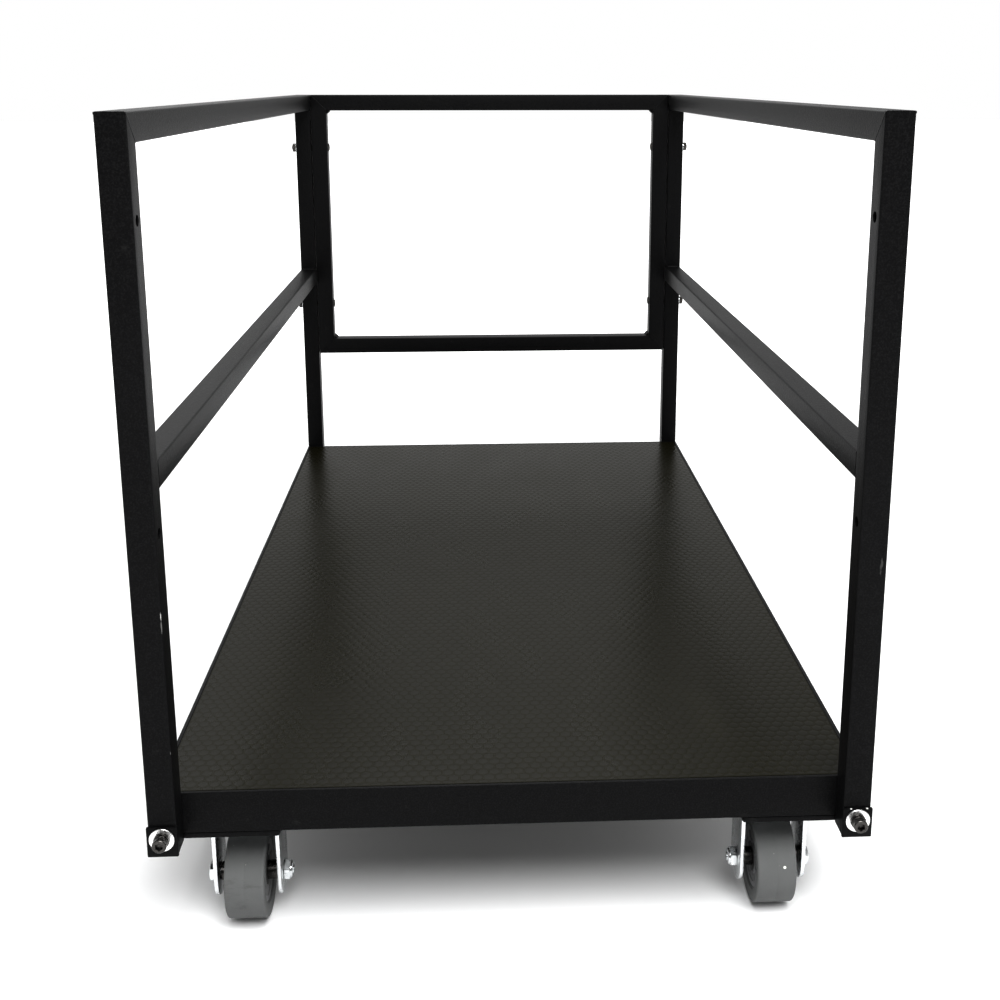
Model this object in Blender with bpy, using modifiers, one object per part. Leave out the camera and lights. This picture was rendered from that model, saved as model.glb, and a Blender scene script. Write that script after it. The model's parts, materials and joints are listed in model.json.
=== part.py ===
"""Three-sided flatbed luggage cart: a steel-edged deck, two bolted side frames,
a bolted closed end frame, two fixed casters at the open front end and two
swivelling casters at the closed rear end.

Metres, +Z up. The origin is on the floor under the middle of the cart.
+X is the cart's right side and +Y points to the closed rear end.
"""
from math import cos, pi, radians, sin

import bmesh
import bpy
from mathutils import Matrix, Vector

# ---- driving dimensions -------------------------------------------------------

GAP = 0.0003                    # clearance kept between touching pieces
CUT_RUN = 0.0100                # how far a cutter runs past a face

TUBE = 0.03175                  # square tube of every rail and post
TUBE_WALL = 0.0021
TUBE_RADIUS = 0.0030            # outer corner radius of the tube

OUTER_WIDTH = 0.8176            # over the two side frames
OUTER_LENGTH = 1.4764           # over the front and rear posts
DECK_TOP = 0.1980               # deck surface above the floor
RAIL_RISE = 0.7595              # top of the rails above the deck
MID_RAIL_RISE = 0.3785          # centre line of the middle rails above the deck

ANGLE_LEG = 0.0508              # rolled angle around the deck
ANGLE_THICKNESS = 0.00476
PANEL_THICKNESS = 0.0136
PANEL_CLEARANCE = 0.0006        # between the panel's edge and the angle
CORNER_PLATE = 0.1400           # square plate welded under each deck corner
CORNER_PLATE_THICKNESS = 0.00635
PLATE_CORNER = 0.0040           # corner radius of the flat plates
CROSS_MEMBER_OFFSET = 0.2300    # inner cross members from the deck's middle
SHORT_MEMBER_HALF = 0.3700      # half length of the front and rear cross members

END_FRAME_RISE = 0.2102         # underside of the end frame above the deck
END_FRAME_SIDE_GAP = 0.0015     # between the end frame and each post
FIXING_RISES = {"lower": 0.3180, "upper": 0.6510}   # cross holes above the deck
FIXING_HOLE = 0.0120            # hole diameter

FOOT_PLATE_WIDTH = 0.0342
FOOT_PLATE_HEIGHT = 0.0362
FOOT_PLATE_THICKNESS = 0.0030
FOOT_BOLT_DROP = 0.0355         # bolt centre below the deck surface
FOOT_HOLE = 0.0110

BOLT = 0.0100                   # shank diameter of all frame bolts
BOLT_BORE = 0.0108              # bore of the washers and nuts on them
SOCKET_HEAD = 0.0160
SOCKET_HEAD_HEIGHT = 0.0100
SOCKET_HEX = 0.0080             # across flats
SOCKET_DEPTH = 0.0050
LOCK_RING = 0.0176
LOCK_RING_THICKNESS = 0.0025
WASHER = 0.0280
WASHER_THICKNESS = 0.0020
NUT_HEX = 0.0160                # across flats
NUT_HEIGHT = 0.0084
BOLT_STUB = 0.0012              # shank standing past a nut
HEAD_OVERLAP = 0.0020           # how far a shank runs into its own head
BUTTON_HEAD = 0.0170
BUTTON_HEAD_HEIGHT = 0.0032

CASTER_X = 0.3160               # caster centre line from the cart's middle
CASTER_INSET = 0.0970           # caster centre from the outer face of the posts
WHEEL_RADIUS = 0.0540
TYRE_WIDTH = 0.0470
TYRE_BORE_RADIUS = 0.0370
TYRE_SHOULDER = 0.0030
HUB_FACE_WIDTH = 0.0410
HUB_BOSS_RADIUS = 0.0115
HUB_BOSS_WIDTH = 0.0686
FORK_GAP = 0.0700               # clear width between the fork legs
FORK_THICKNESS = 0.00476
FORK_PLATE_X = 0.0940
FORK_PLATE_Y = 0.0900
FORK_PLATE_THICKNESS = 0.0050
FORK_LEG_WIDTH = 0.0540         # flat bar leg, rounded about the axle
SWIVEL_LEG_WIDTH = 0.0700       # top of the swivel fork's legs
AXLE = 0.0120
AXLE_BORE = 0.0127
AXLE_HEX = 0.0220
AXLE_HEAD_HEIGHT = 0.0085
AXLE_NUT_HEIGHT = 0.0105
AXLE_STUB = 0.0010
SWIVEL_TRAIL = 0.0300           # axle behind the swivel axis
RACE_RADIUS = 0.0350            # swivel race under the top plate
RACE_HEIGHT = 0.0140
CROWN_LENGTH = 0.0740           # top of the swivel fork, front to rear
CROWN_THICKNESS = 0.0060
KINGPIN = 0.0120                # rivet that the swivel fork hangs on
KINGPIN_BORE = 0.0128
KINGPIN_HEAD = 0.0220
KINGPIN_HEAD_HEIGHT = 0.0050

# ---- derived dimensions -------------------------------------------------------

HALF_WIDTH = OUTER_WIDTH / 2
HALF_LENGTH = OUTER_LENGTH / 2
RAIL_TOP = DECK_TOP + RAIL_RISE
ANGLE_BOTTOM = DECK_TOP - ANGLE_LEG
FOOT_BOTTOM = ANGLE_BOTTOM - GAP - CORNER_PLATE_THICKNESS
DECK_HALF_LENGTH = HALF_LENGTH - TUBE - GAP
POST_X = HALF_WIDTH - TUBE / 2
POST_Y = HALF_LENGTH - TUBE / 2
CASTER_TOP = FOOT_BOTTOM - GAP
CASTER_Y = HALF_LENGTH - CASTER_INSET
END_FRAME_HALF = HALF_WIDTH - TUBE - END_FRAME_SIDE_GAP
END_FRAME_BOTTOM = DECK_TOP + END_FRAME_RISE
END_FRAME_MIDDLE = (RAIL_TOP + END_FRAME_BOTTOM) / 2
UPRIGHT_X = END_FRAME_HALF - TUBE / 2

SIDES = {"left": -1, "right": 1}
ENDS = {"front": -1, "rear": 1}
AXES = {"x": Vector((1, 0, 0)), "y": Vector((0, 1, 0)), "z": Vector((0, 0, 1))}


# ---- scene, collections and materials -------------------------------------------

def clear_scene():
    for obj in list(bpy.data.objects):
        bpy.data.objects.remove(obj, do_unlink=True)


def new_collection(name):
    collection = bpy.data.collections.new(name)
    bpy.context.scene.collection.children.link(collection)
    return collection


def material(name, colour, roughness, metallic):
    made = bpy.data.materials.new(name)
    made.use_nodes = True
    shader = made.node_tree.nodes["Principled BSDF"]
    shader.inputs["Base Color"].default_value = (*colour, 1)
    shader.inputs["Roughness"].default_value = roughness
    shader.inputs["Metallic"].default_value = metallic
    return made


clear_scene()
PARTS = new_collection("luggage_cart")
CUTTERS = new_collection("luggage_cart_cutters")
POWDER_COAT = material("black_powder_coat", (0.022, 0.022, 0.024), 0.55, 0.0)
PHENOLIC = material("phenolic_film", (0.032, 0.029, 0.024), 0.42, 0.0)
ZINC = material("zinc_plate", (0.72, 0.73, 0.74), 0.30, 1.0)
RUBBER = material("grey_rubber", (0.235, 0.235, 0.240), 0.75, 0.0)
HUB_PLASTIC = material("grey_hub_plastic", (0.30, 0.30, 0.31), 0.50, 0.0)
STAINLESS = material("stainless", (0.80, 0.80, 0.79), 0.22, 1.0)
BLACK_OXIDE = material("black_oxide", (0.035, 0.035, 0.038), 0.35, 1.0)


# ---- modelling helpers ------------------------------------------------------------

def add_object(name, mesh, collection=PARTS, finish=None, location=(0, 0, 0)):
    obj = bpy.data.objects.new(name, mesh)
    obj.location = location
    collection.objects.link(obj)
    if finish:
        mesh.materials.append(finish)
    if collection is CUTTERS:
        obj.hide_render = True
        obj.display_type = "WIRE"
    return obj


def box_mesh(name, size, round_axis=None, radius=0.0):
    """A box; the edges along round_axis are rounded to the radius."""
    bm = bmesh.new()
    bmesh.ops.create_cube(bm, size=1.0)
    bmesh.ops.scale(bm, vec=Vector(size), verts=bm.verts)
    if round_axis:
        along = AXES[round_axis]
        edges = [edge for edge in bm.edges
                 if abs((edge.verts[1].co - edge.verts[0].co).normalized().dot(along)) > 0.99]
        bmesh.ops.bevel(bm, geom=edges, offset=radius, segments=2,
                        profile=0.5, affect="EDGES")
    mesh = bpy.data.meshes.new(name)
    bm.to_mesh(mesh)
    bm.free()
    return mesh


def cylinder_mesh(name, radius, depth, axis, sides=24, turn=0.0):
    """A cylinder or prism along an axis; turn rotates its corners about the axis."""
    bm = bmesh.new()
    bmesh.ops.create_cone(bm, cap_ends=True, segments=sides,
                          radius1=radius, radius2=radius, depth=depth)
    bmesh.ops.rotate(bm, matrix=Matrix.Rotation(turn, 3, "Z"), verts=bm.verts)
    bmesh.ops.rotate(bm, matrix=axis_matrix(axis), verts=bm.verts)
    mesh = bpy.data.meshes.new(name)
    bm.to_mesh(mesh)
    bm.free()
    return mesh


def axis_matrix(axis):
    """Rotation that takes +Z to the named axis."""
    return AXES["z"].rotation_difference(AXES[axis]).to_matrix()


def hex_radius(across_flats):
    return across_flats / 2 / cos(pi / 6)


def boolean(obj, other, operation):
    modifier = obj.modifiers.new(other.name, "BOOLEAN")
    modifier.operation = operation
    modifier.object = other
    modifier.solver = "EXACT"
    return modifier


def cut_box(obj, size, centre, rotation=None):
    """Cut a box, given in world space, out of an object."""
    cutter = add_object(f"{obj.name}_cut", box_mesh("cut", size), CUTTERS, location=centre)
    if rotation:
        cutter.rotation_euler = rotation
    return boolean(obj, cutter, "DIFFERENCE")


def cut_hole(obj, diameter, depth, axis, centre, sides=12):
    """Drill a round hole, depth long, centred at a point in world space."""
    cutter = add_object(f"{obj.name}_hole", cylinder_mesh("hole", diameter / 2, depth, axis, sides),
                        CUTTERS, location=centre)
    return boolean(obj, cutter, "DIFFERENCE")


def join(obj, mesh, centre):
    """Weld another shape on as part of the same solid."""
    addition = add_object(f"{obj.name}_weld", mesh, CUTTERS, location=centre)
    return boolean(obj, addition, "UNION")


def smooth(obj, degrees=35):
    obj.data.shade_smooth()
    obj.data.set_sharp_from_angle(angle=radians(degrees))


def square_tube(name, length, axis, centre):
    """A hollow square tube with rounded long edges."""
    size = [TUBE, TUBE, TUBE]
    size["xyz".index(axis)] = length
    obj = add_object(name, box_mesh(name, size, axis, TUBE_RADIUS),
                     finish=POWDER_COAT, location=centre)
    bore = [TUBE - 2 * TUBE_WALL] * 3
    bore["xyz".index(axis)] = length + 2 * CUT_RUN
    cut_box(obj, bore, centre)
    return obj


def cut_mitre(obj, corner, plane_axis, lean):
    """Cut 45 degrees through a frame corner.

    corner is the middle of the corner's joint, plane_axis is square to the frame,
    and lean is the direction, in the frame's plane, that the removed side faces.
    """
    block = 2 * ANGLE_LEG
    lean = Vector(lean).normalized()
    centre = Vector(corner) + lean * (block / 2 - GAP / 2)
    turn = radians(45)
    rotation = {"x": (turn, 0, 0), "y": (0, turn, 0), "z": (0, 0, turn)}[plane_axis]
    return cut_box(obj, (block, block, block), centre, rotation)


def turned(name, profile, axis, finish, location, steps):
    """A solid of revolution; profile is a closed loop of (radius, height) points."""
    bm = bmesh.new()
    verts = [bm.verts.new((radius, 0, height)) for radius, height in profile]
    for start, end in zip(verts, verts[1:] + verts[:1]):
        bm.edges.new((start, end))
    mesh = bpy.data.meshes.new(name)
    bm.to_mesh(mesh)
    bm.free()
    obj = add_object(name, mesh, finish=finish, location=location)
    obj.rotation_euler = axis_matrix(axis).to_euler()
    screw = obj.modifiers.new("turn", "SCREW")
    screw.axis = "Z"
    screw.angle = 2 * pi
    screw.steps = steps
    screw.render_steps = steps
    screw.use_merge_vertices = True
    screw.merge_threshold = 0.00001
    return obj


def empty(name, location, parent=None):
    """A joint axis that moving pieces hang on."""
    obj = bpy.data.objects.new(name, None)
    obj.empty_display_size = 0.03
    obj.location = location
    PARTS.objects.link(obj)
    if parent:
        attach(obj, parent)
    return obj


def attach(obj, parent):
    """Parent an object and keep it where it is."""
    bpy.context.view_layer.update()
    obj.parent = parent
    obj.matrix_parent_inverse = parent.matrix_world.inverted()


# ---- deck ---------------------------------------------------------------------------

def deck_panel():
    half_x = HALF_WIDTH - ANGLE_THICKNESS - PANEL_CLEARANCE
    half_y = DECK_HALF_LENGTH - ANGLE_THICKNESS - PANEL_CLEARANCE
    size = (2 * half_x, 2 * half_y, PANEL_THICKNESS)
    add_object("deck_panel", box_mesh("deck_panel", size), finish=PHENOLIC,
               location=(0, 0, DECK_TOP - PANEL_THICKNESS / 2))


def deck_angle(name, length, along, side):
    """One mitred length of angle: upright leg outside, flat leg inward at the bottom."""
    reach = HALF_WIDTH if along == "y" else DECK_HALF_LENGTH
    across = "x" if along == "y" else "y"
    offset = reach - ANGLE_LEG / 2
    centre = AXES[across] * side * offset + AXES["z"] * (ANGLE_BOTTOM + ANGLE_LEG / 2)
    size = [ANGLE_LEG, ANGLE_LEG, ANGLE_LEG]
    size["xyz".index(along)] = length
    obj = add_object(name, box_mesh(name, size), finish=POWDER_COAT, location=centre)
    inside = [ANGLE_LEG, ANGLE_LEG, ANGLE_LEG]
    inside["xyz".index(along)] = length + 2 * CUT_RUN
    shift = AXES[across] * -side * ANGLE_THICKNESS + AXES["z"] * ANGLE_THICKNESS
    cut_box(obj, inside, centre + shift)
    for end in (-1, 1):
        corner = AXES["z"] * (ANGLE_BOTTOM + ANGLE_LEG / 2)
        if along == "y":
            corner += Vector((side * (HALF_WIDTH - ANGLE_LEG / 2),
                              end * (DECK_HALF_LENGTH - ANGLE_LEG / 2), 0))
            lean = (-side, end, 0)
        else:
            corner += Vector((end * (HALF_WIDTH - ANGLE_LEG / 2),
                              side * (DECK_HALF_LENGTH - ANGLE_LEG / 2), 0))
            lean = (end, -side, 0)
        cut_mitre(obj, corner, "z", lean)
    return obj


def deck_frame():
    for side_name, side in SIDES.items():
        deck_angle(f"deck_angle_{side_name}", 2 * DECK_HALF_LENGTH, "y", side)
    for end_name, end in ENDS.items():
        angle = deck_angle(f"deck_angle_{end_name}", OUTER_WIDTH, "x", end)
        for side in SIDES.values():
            centre = (side * POST_X, end * DECK_HALF_LENGTH, DECK_TOP - FOOT_BOLT_DROP)
            cut_hole(angle, FOOT_HOLE, 2 * (ANGLE_THICKNESS + CUT_RUN), "y", centre)


def cross_members():
    """Tubes under the panel that lie on the angles' flat legs."""
    height = DECK_TOP - PANEL_THICKNESS - GAP - TUBE / 2
    end_y = DECK_HALF_LENGTH - ANGLE_THICKNESS - GAP - TUBE / 2
    long_half = HALF_WIDTH - ANGLE_THICKNESS - GAP
    places = {
        "front": (-end_y, SHORT_MEMBER_HALF),
        "front_middle": (-CROSS_MEMBER_OFFSET, long_half),
        "rear_middle": (CROSS_MEMBER_OFFSET, long_half),
        "rear": (end_y, SHORT_MEMBER_HALF),
    }
    for name, (place, half) in places.items():
        square_tube(f"cross_member_{name}", 2 * half, "x", (0, place, height))


def corner_plates():
    for end_name, end in ENDS.items():
        for side_name, side in SIDES.items():
            name = f"corner_plate_{end_name}_{side_name}"
            centre = (side * (HALF_WIDTH - CORNER_PLATE / 2),
                      end * (DECK_HALF_LENGTH - CORNER_PLATE / 2),
                      FOOT_BOTTOM + CORNER_PLATE_THICKNESS / 2)
            size = (CORNER_PLATE, CORNER_PLATE, CORNER_PLATE_THICKNESS)
            add_object(name, box_mesh(name, size, "z", PLATE_CORNER),
                       finish=POWDER_COAT, location=centre)


# ---- side frames ------------------------------------------------------------------

def post(side_name, end_name):
    """Upright with its foot plate, the foot bolt's hole and the two cross holes."""
    side = SIDES[side_name]
    end = ENDS[end_name]
    length = RAIL_TOP - FOOT_BOTTOM
    centre = Vector((side * POST_X, end * POST_Y, FOOT_BOTTOM + length / 2))
    obj = square_tube(f"side_{side_name}_{end_name}_post", length, "z", centre)
    corner = (side * POST_X, end * POST_Y, RAIL_TOP - TUBE / 2)
    cut_mitre(obj, corner, "x", (0, -end, 1))
    plate_y = end * (HALF_LENGTH + FOOT_PLATE_THICKNESS / 2 - TUBE_WALL / 4)
    plate_size = (FOOT_PLATE_WIDTH, FOOT_PLATE_THICKNESS + TUBE_WALL / 2, FOOT_PLATE_HEIGHT)
    join(obj, box_mesh("foot_plate", plate_size),
         (side * POST_X, plate_y, FOOT_BOTTOM + FOOT_PLATE_HEIGHT / 2))
    cut_hole(obj, FOOT_HOLE, TUBE + 2 * CUT_RUN, "y",
             (side * POST_X, end * POST_Y, DECK_TOP - FOOT_BOLT_DROP))
    for rise in FIXING_RISES.values():
        cut_hole(obj, FIXING_HOLE, TUBE + 2 * CUT_RUN, "x",
                 (side * POST_X, end * POST_Y, DECK_TOP + rise))
    return obj


def side_rails(side_name):
    side = SIDES[side_name]
    top = square_tube(f"side_{side_name}_top_rail", OUTER_LENGTH, "y",
                      (side * POST_X, 0, RAIL_TOP - TUBE / 2))
    for end in ENDS.values():
        cut_mitre(top, (side * POST_X, end * POST_Y, RAIL_TOP - TUBE / 2), "x", (0, end, -1))
    square_tube(f"side_{side_name}_mid_rail", OUTER_LENGTH - 2 * (TUBE + GAP), "y",
                (side * POST_X, 0, DECK_TOP + MID_RAIL_RISE))


# ---- end frame ------------------------------------------------------------------------

def end_frame():
    """Closed rectangle between the rear posts, mitred at its four corners."""
    levels = {"top": (RAIL_TOP - TUBE / 2, 1), "bottom": (END_FRAME_BOTTOM + TUBE / 2, -1)}
    for name, (level, up) in levels.items():
        rail = square_tube(f"end_frame_{name}_rail", 2 * END_FRAME_HALF, "x", (0, POST_Y, level))
        for side in SIDES.values():
            cut_mitre(rail, (side * UPRIGHT_X, POST_Y, level), "y", (side, 0, -up))
    for side_name, side in SIDES.items():
        upright = square_tube(f"end_frame_{side_name}_upright", RAIL_TOP - END_FRAME_BOTTOM, "z",
                              (side * UPRIGHT_X, POST_Y, END_FRAME_MIDDLE))
        for level, up in levels.values():
            cut_mitre(upright, (side * UPRIGHT_X, POST_Y, level), "y", (-side, 0, up))
        for rise in FIXING_RISES.values():
            cut_hole(upright, FIXING_HOLE, TUBE + 2 * CUT_RUN, "x",
                     (side * UPRIGHT_X, POST_Y, DECK_TOP + rise))


# ---- frame fasteners ------------------------------------------------------------------

def foot_fasteners():
    """Socket screw with lock ring and nut, and a flat washer, through each post's foot."""
    for end_name, end in ENDS.items():
        for side_name, side in SIDES.items():
            place = f"{end_name}_{side_name}"
            at = Vector((side * POST_X, 0, DECK_TOP - FOOT_BOLT_DROP))
            face = HALF_LENGTH + FOOT_PLATE_THICKNESS

            washer_y = face + GAP + WASHER_THICKNESS / 2
            washer = add_object(f"foot_washer_{place}",
                                cylinder_mesh("washer", WASHER / 2, WASHER_THICKNESS, "y", 24),
                                finish=STAINLESS, location=at + AXES["y"] * end * washer_y)
            cut_hole(washer, BOLT_BORE, WASHER_THICKNESS + CUT_RUN, "y", washer.location)
            smooth(washer)

            ring_y = face + 2 * GAP + WASHER_THICKNESS
            head_y = ring_y + LOCK_RING_THICKNESS
            inner_y = DECK_HALF_LENGTH - ANGLE_THICKNESS - GAP
            tail_y = inner_y - NUT_HEIGHT - BOLT_STUB
            shank = head_y + HEAD_OVERLAP - tail_y
            bolt = add_object(f"foot_bolt_{place}",
                              cylinder_mesh("bolt", BOLT / 2, shank, "y", 12), finish=BLACK_OXIDE,
                              location=at + AXES["y"] * end * (tail_y + shank / 2))
            join(bolt, cylinder_mesh("ring", LOCK_RING / 2, LOCK_RING_THICKNESS, "y", 20),
                 at + AXES["y"] * end * (ring_y + LOCK_RING_THICKNESS / 2))
            join(bolt, cylinder_mesh("head", SOCKET_HEAD / 2, SOCKET_HEAD_HEIGHT, "y", 20),
                 at + AXES["y"] * end * (head_y + SOCKET_HEAD_HEIGHT / 2))
            join(bolt, cylinder_mesh("nut", hex_radius(NUT_HEX), NUT_HEIGHT, "y", 6, pi / 6),
                 at + AXES["y"] * end * (inner_y - NUT_HEIGHT / 2))
            cut_hex(bolt, SOCKET_HEX, SOCKET_DEPTH, "y",
                    at + AXES["y"] * end * (head_y + SOCKET_HEAD_HEIGHT))
            smooth(bolt)


def cut_hex(obj, across_flats, depth, axis, mouth):
    """Hexagonal socket, its mouth centred at a point on a face."""
    cutter = add_object(f"{obj.name}_socket",
                        cylinder_mesh("socket", hex_radius(across_flats), 2 * depth, axis, 6),
                        CUTTERS, location=mouth)
    return boolean(obj, cutter, "DIFFERENCE")


def end_frame_fasteners():
    """Button head bolts from inside the end frame, with a nut outside each rear post."""
    inner_x = END_FRAME_HALF - TUBE - GAP
    nut_x = HALF_WIDTH + GAP
    tip_x = nut_x + NUT_HEIGHT + BOLT_STUB
    for level, rise in FIXING_RISES.items():
        for side_name, side in SIDES.items():
            at = Vector((0, POST_Y, DECK_TOP + rise))
            shank = tip_x - inner_x + HEAD_OVERLAP
            bolt = add_object(f"end_frame_bolt_{level}_{side_name}",
                              cylinder_mesh("bolt", BOLT / 2, shank, "x", 12),
                              finish=BLACK_OXIDE,
                              location=at + AXES["x"] * side * (tip_x - shank / 2))
            join(bolt, cylinder_mesh("head", BUTTON_HEAD / 2, BUTTON_HEAD_HEIGHT, "x", 20),
                 at + AXES["x"] * side * (inner_x - BUTTON_HEAD_HEIGHT / 2))
            smooth(bolt)
            nut = add_object(f"end_frame_nut_{level}_{side_name}",
                             cylinder_mesh("nut", hex_radius(NUT_HEX), NUT_HEIGHT, "x", 6),
                             finish=BLACK_OXIDE,
                             location=at + AXES["x"] * side * (nut_x + NUT_HEIGHT / 2))
            cut_hole(nut, BOLT_BORE, NUT_HEIGHT + CUT_RUN, "x", nut.location)


# ---- casters ---------------------------------------------------------------------------

def leg_mesh(name, outline, inner_x, outer_x):
    """Flat fork leg: an outline in the YZ plane given a thickness along X."""
    bm = bmesh.new()
    verts = [bm.verts.new((inner_x, y, z)) for y, z in outline]
    face = bm.faces.new(verts)
    extruded = bmesh.ops.extrude_face_region(bm, geom=[face])
    moved = [item for item in extruded["geom"] if isinstance(item, bmesh.types.BMVert)]
    bmesh.ops.translate(bm, vec=(outer_x - inner_x, 0, 0), verts=moved)
    bmesh.ops.recalc_face_normals(bm, faces=bm.faces)
    mesh = bpy.data.meshes.new(name)
    bm.to_mesh(mesh)
    bm.free()
    return mesh


def leg_outline(top_width, trail, top_z, axle_z):
    """Leg seen from the side: straight edges down to a round end about the axle."""
    end_steps = 8
    end_radius = FORK_LEG_WIDTH / 2
    arc = [(trail + end_radius * cos(angle), axle_z + end_radius * sin(angle))
           for angle in (pi + pi * step / end_steps for step in range(end_steps + 1))]
    return [(-top_width / 2, top_z), *arc, (top_width / 2, top_z)]


def fork_legs(obj, origin, top_width, trail):
    """Weld both legs to the middle of a fork's top and drill them for the axle."""
    for side in (-1, 1):
        inner = side * FORK_GAP / 2
        outer = side * (FORK_GAP / 2 + FORK_THICKNESS)
        outline = leg_outline(top_width, trail, 0.0, WHEEL_RADIUS - origin.z)
        join(obj, leg_mesh("leg", outline, inner, outer), origin)
    axle = origin + Vector((0, trail, 0))
    axle.z = WHEEL_RADIUS
    cut_hole(obj, AXLE_BORE, FORK_GAP + 2 * (FORK_THICKNESS + CUT_RUN), "x", axle, 16)


def top_plate(name, centre):
    """Caster plate that is bolted under a corner plate."""
    size = (FORK_PLATE_X, FORK_PLATE_Y, FORK_PLATE_THICKNESS)
    return add_object(name, box_mesh(name, size, "z", PLATE_CORNER), finish=ZINC, location=centre)


def rigid_fork(side_name, side):
    """Fixed caster's plate and legs in one welded piece."""
    origin = Vector((side * CASTER_X, -CASTER_Y, CASTER_TOP - FORK_PLATE_THICKNESS / 2))
    fork_legs(top_plate(f"rigid_fork_{side_name}", origin), origin, FORK_LEG_WIDTH, 0.0)


def swivel_caster(side_name, side):
    """Top plate, race and kingpin, and the fork hanging on them; returns the swivel empty."""
    pivot = Vector((side * CASTER_X, CASTER_Y, CASTER_TOP))
    plate_z = CASTER_TOP - FORK_PLATE_THICKNESS / 2
    race_bottom = CASTER_TOP - FORK_PLATE_THICKNESS - RACE_HEIGHT
    crown_z = race_bottom - GAP - CROWN_THICKNESS / 2
    head_top = crown_z - CROWN_THICKNESS / 2 - GAP
    head_bottom = head_top - KINGPIN_HEAD_HEIGHT

    plate = top_plate(f"swivel_plate_{side_name}", Vector((pivot.x, pivot.y, plate_z)))
    stack = {"race": (2 * RACE_RADIUS, plate_z, race_bottom, 24),
             "kingpin": (KINGPIN, race_bottom + HEAD_OVERLAP, head_top - HEAD_OVERLAP, 16),
             "kingpin_head": (KINGPIN_HEAD, head_top, head_bottom, 20)}
    for name, (diameter, top, bottom, sides) in stack.items():
        join(plate, cylinder_mesh(name, diameter / 2, top - bottom, "z", sides),
             (pivot.x, pivot.y, (top + bottom) / 2))
    smooth(plate)

    fork_name = f"swivel_fork_{side_name}"
    origin = Vector((pivot.x, pivot.y, crown_z))
    size = (FORK_GAP + 2 * FORK_THICKNESS, CROWN_LENGTH, CROWN_THICKNESS)
    fork = add_object(fork_name, box_mesh(fork_name, size), finish=ZINC, location=origin)
    fork_legs(fork, origin, SWIVEL_LEG_WIDTH, SWIVEL_TRAIL)
    cut_hole(fork, KINGPIN_BORE, CROWN_THICKNESS + CUT_RUN, "z", origin, 16)
    swivel = empty(f"swivel_axis_{side_name}", pivot)
    attach(fork, swivel)
    return swivel


def tyre_profile():
    half = TYRE_WIDTH / 2
    corner = TYRE_SHOULDER
    corner_steps = 3
    arc = [pi / 2 * step / corner_steps for step in range(corner_steps + 1)]
    upper = [(WHEEL_RADIUS - corner + corner * sin(angle), half - corner + corner * cos(angle))
             for angle in arc]
    lower = [(radius, -height) for radius, height in reversed(upper)]
    return [(TYRE_BORE_RADIUS, half), *upper, *lower, (TYRE_BORE_RADIUS, -half)]


def hub_profile():
    rim = TYRE_BORE_RADIUS - GAP
    upper = [
        (AXLE_BORE / 2, HUB_BOSS_WIDTH / 2),
        (HUB_BOSS_RADIUS, HUB_BOSS_WIDTH / 2),
        (HUB_BOSS_RADIUS, HUB_FACE_WIDTH / 2),
        (rim, HUB_FACE_WIDTH / 2),
    ]
    return upper + [(radius, -height) for radius, height in reversed(upper)]


def wheel(place, centre, parent=None):
    """Hub and tyre on the wheel's axle line."""
    axle = empty(f"wheel_axis_{place}", centre, parent)
    hub = turned(f"wheel_hub_{place}", hub_profile(), "x", HUB_PLASTIC, centre, 24)
    tyre = turned(f"wheel_tyre_{place}", tyre_profile(), "x", RUBBER, centre, 28)
    for piece in (hub, tyre):
        attach(piece, axle)


def axle_bolt(place, centre, inner_side, parent=None):
    """Axle bolt, head outboard, with its lock nut on the inboard side of the fork."""
    leg_face = FORK_GAP / 2 + FORK_THICKNESS + GAP
    start = -leg_face - HEAD_OVERLAP
    end = leg_face + AXLE_NUT_HEIGHT + AXLE_STUB
    inward = AXES["x"] * inner_side
    bolt = add_object(f"axle_bolt_{place}",
                      cylinder_mesh("axle", AXLE / 2, end - start, "x", 16),
                      finish=ZINC, location=centre + inward * (start + end) / 2)
    join(bolt, cylinder_mesh("head", hex_radius(AXLE_HEX), AXLE_HEAD_HEIGHT, "x", 6),
         centre - inward * (leg_face + AXLE_HEAD_HEIGHT / 2))
    join(bolt, cylinder_mesh("nut", hex_radius(AXLE_HEX), AXLE_NUT_HEIGHT, "x", 6),
         centre + inward * (leg_face + AXLE_NUT_HEIGHT / 2))
    smooth(bolt)
    if parent:
        attach(bolt, parent)


def casters():
    for side_name, side in SIDES.items():
        rigid_fork(side_name, side)
        front = Vector((side * CASTER_X, -CASTER_Y, WHEEL_RADIUS))
        wheel(f"front_{side_name}", front)
        axle_bolt(f"front_{side_name}", front, -side)

        swivel = swivel_caster(side_name, side)
        rear = Vector((side * CASTER_X, CASTER_Y + SWIVEL_TRAIL, WHEEL_RADIUS))
        wheel(f"rear_{side_name}", rear, swivel)
        axle_bolt(f"rear_{side_name}", rear, -side, swivel)


# ---- the cart -----------------------------------------------------------------------------

deck_panel()
deck_frame()
cross_members()
corner_plates()
for side_key in SIDES:
    for end_key in ENDS:
        post(side_key, end_key)
    side_rails(side_key)
end_frame()
foot_fasteners()
end_frame_fasteners()
casters()
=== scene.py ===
"""Looks of the three-sided flatbed luggage cart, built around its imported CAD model.

Metres, +Z up, origin on the floor under the middle of the cart, +Y to the closed end.
"""
import json
import random
from math import ceil, cos, pi, radians, sin, sqrt

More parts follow.
